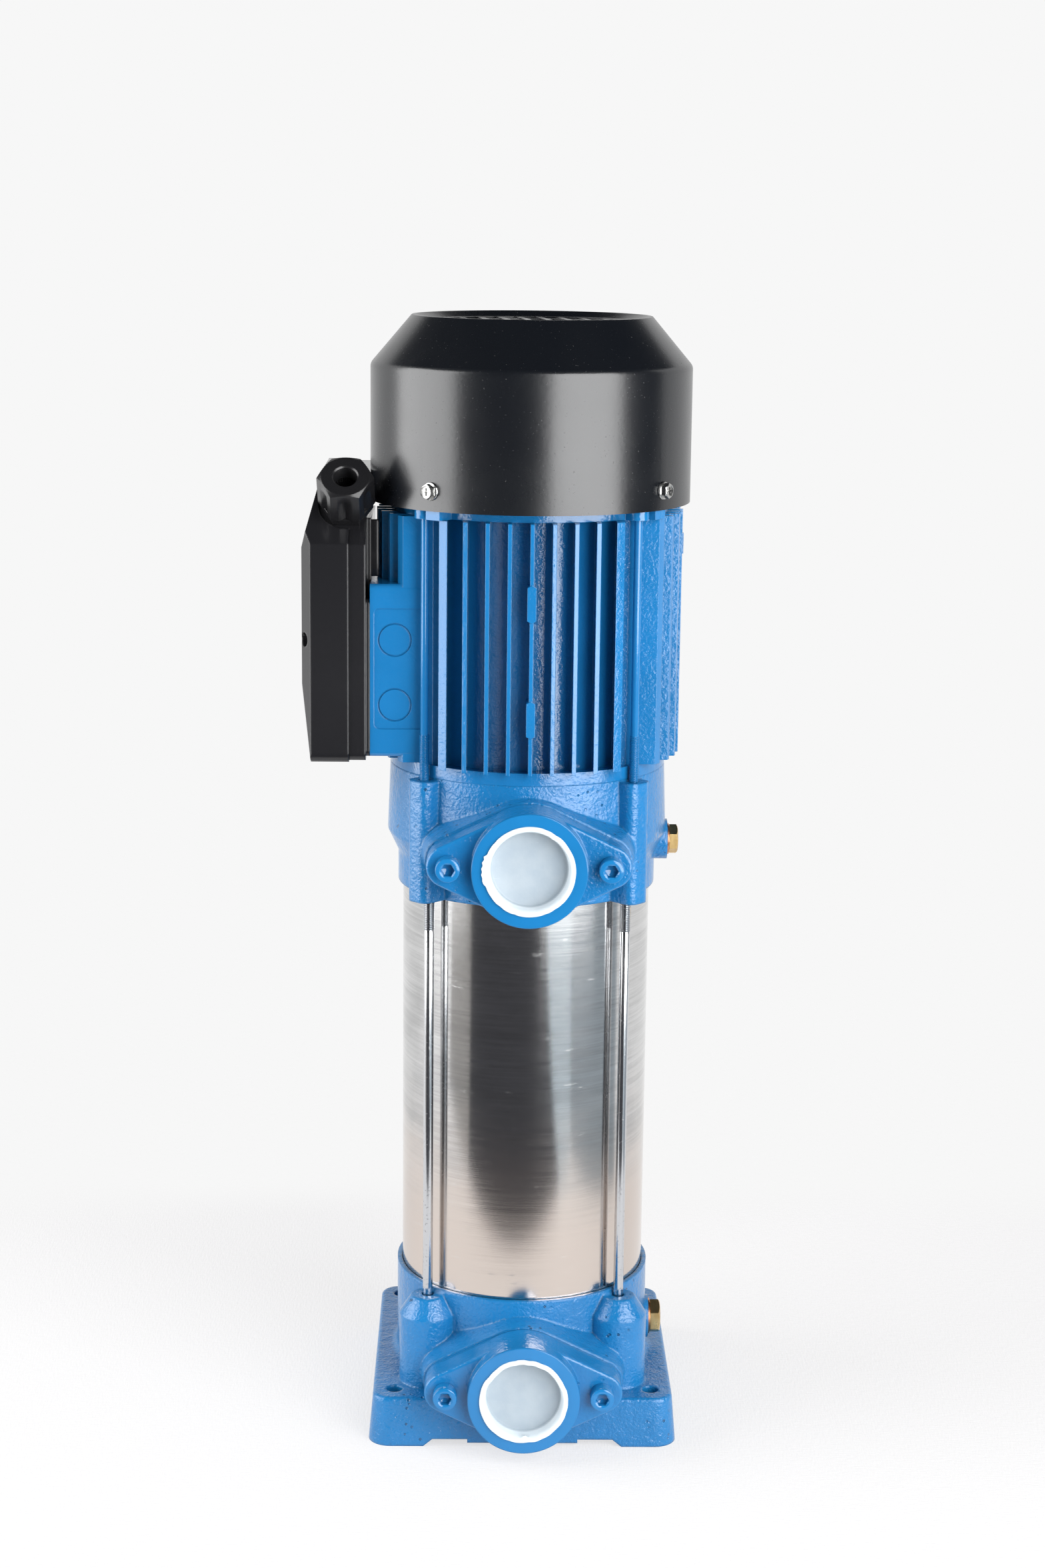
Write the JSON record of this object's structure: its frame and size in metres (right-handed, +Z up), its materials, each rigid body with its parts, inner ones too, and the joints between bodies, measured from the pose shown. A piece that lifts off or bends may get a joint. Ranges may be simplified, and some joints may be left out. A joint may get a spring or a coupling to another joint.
{
  "type": "multistage centrifugal pump",
  "caption": "Vertical multistage centrifugal pump with side ports, a steel sleeve held by tie rods, a finned motor with a side terminal box, and a fan cover.",
  "frame": {"origin": "centre of the base's underside, midway between the four anchor holes", "axes": "+Z up along the pump's shaft, -Y the side that both ports face, -X the terminal box's side"},
  "size_m": [0.2054, 0.195, 0.6047],
  "materials": {
    "painted_iron": "glossy blue paint over cast iron",
    "stainless_tube": "polished stainless steel with fine round brushing",
    "painted_steel": "blue paint over steel screws and bolts",
    "plated_steel": "bright plated steel",
    "pressed_stainless": "pressed stainless steel",
    "ground_steel": "ground steel",
    "core_steel": "laminated steel",
    "copper_winding": "enamelled copper wire",
    "brass_plug": "plain turned brass",
    "copper_washer": "soft copper",
    "black_rubber": "matt rubber",
    "cap_plastic": "milky moulded polythene",
    "seal_ceramic": "polished ceramic",
    "carbon": "dense carbon",
    "cover_paint": "satin black paint on pressed steel",
    "box_plastic": "black moulded plastic with a fine grain",
    "fan_plastic": "grey-black moulded plastic",
    "block_plastic": "brown moulded plastic",
    "capacitor_plastic": "light grey plastic can"
  },
  "bodies": {
    "pump": {"base_casting": "painted_iron", "diffuser_1": "pressed_stainless", "diffuser_2": "pressed_stainless", "diffuser_3": "pressed_stainless", "diffuser_4": "pressed_stainless", "diffuser_5": "pressed_stainless", "discharge_disc": "pressed_stainless", "discharge_flange": "painted_iron", "fan_cover": "cover_paint", "fan_cover_screws": "plated_steel", "fan_end_shield": "painted_iron", "flange_gaskets": "black_rubber", "flange_screws": "painted_steel", "gland_body": "box_plastic", "gland_seal": "black_rubber", "guide_bush": "carbon", "head_casting": "painted_iron", "inlet_disc": "pressed_stainless", "lower_bearing_outer_race": "ground_steel", "motor_housing": "painted_iron", "outer_sleeve": "stainless_tube", "plug_washers": "copper_washer", "run_capacitor": "capacitor_plastic", "seal_seat": "seal_ceramic", "sleeve_gaskets": "black_rubber", "stage_casing_1": "pressed_stainless", "stage_casing_2": "pressed_stainless", "stage_casing_3": "pressed_stainless", "stage_casing_4": "pressed_stainless", "stage_casing_5": "pressed_stainless", "stator_core": "core_steel", "stator_windings": "copper_winding", "suction_flange": "painted_iron", "terminal_block": "block_plastic", "terminal_box": "box_plastic", "through_bolts": "painted_steel", "tie_rod_nuts": "plated_steel", "tie_rods": "plated_steel", "upper_bearing_outer_race": "ground_steel"},
    "rotor": {"motor_shaft": "ground_steel", "rotor_core": "core_steel", "cooling_fan": "fan_plastic", "impeller_spacers": "pressed_stainless", "impeller_nut": "pressed_stainless", "seal_ring": "carbon", "seal_spring": "ground_steel", "lower_bearing_inner_race": "ground_steel", "upper_bearing_inner_race": "ground_steel", "impeller_1": "pressed_stainless", "impeller_2": "pressed_stainless", "impeller_3": "pressed_stainless", "impeller_4": "pressed_stainless", "impeller_5": "pressed_stainless"},
    "suction_cap": {"suction_cap": "cap_plastic"},
    "discharge_cap": {"discharge_cap": "cap_plastic"},
    "vent_plug": {"vent_plug": "brass_plug"},
    "drain_plug": {"drain_plug": "brass_plug"},
    "terminal_cover": {"terminal_lid": "box_plastic", "lid_screws": "plated_steel"},
    "gland_nut": {"gland_nut": "box_plastic"}
  },
  "joints": [
    {"name": "rotor_spin", "type": "hinge", "parent": "pump", "child": "rotor", "pos_m": [0, 0, 0.3], "axis": [0, 0, 1], "continuous": true},
    {"name": "suction_cap_pull", "type": "slide", "parent": "pump", "child": "suction_cap", "axis": [0, -1, 0], "range_m": [0, 0.06]},
    {"name": "discharge_cap_pull", "type": "slide", "parent": "pump", "child": "discharge_cap", "axis": [0, -1, 0], "range_m": [0, 0.06]},
    {"name": "vent_plug_out", "type": "slide", "parent": "pump", "child": "vent_plug", "axis": [1, 0, 0], "range_m": [0, 0.03]},
    {"name": "drain_plug_out", "type": "slide", "parent": "pump", "child": "drain_plug", "axis": [1, 0, 0], "range_m": [0, 0.03]},
    {"name": "terminal_cover_off", "type": "slide", "parent": "pump", "child": "terminal_cover", "axis": [-1, 0, 0], "range_m": [0, 0.06]},
    {"name": "gland_nut_turn", "type": "hinge", "parent": "pump", "child": "gland_nut", "pos_m": [-0.0965, -0.0325, 0.5057], "axis": [0, -0.7071, 0.7071], "continuous": true}
  ]
}
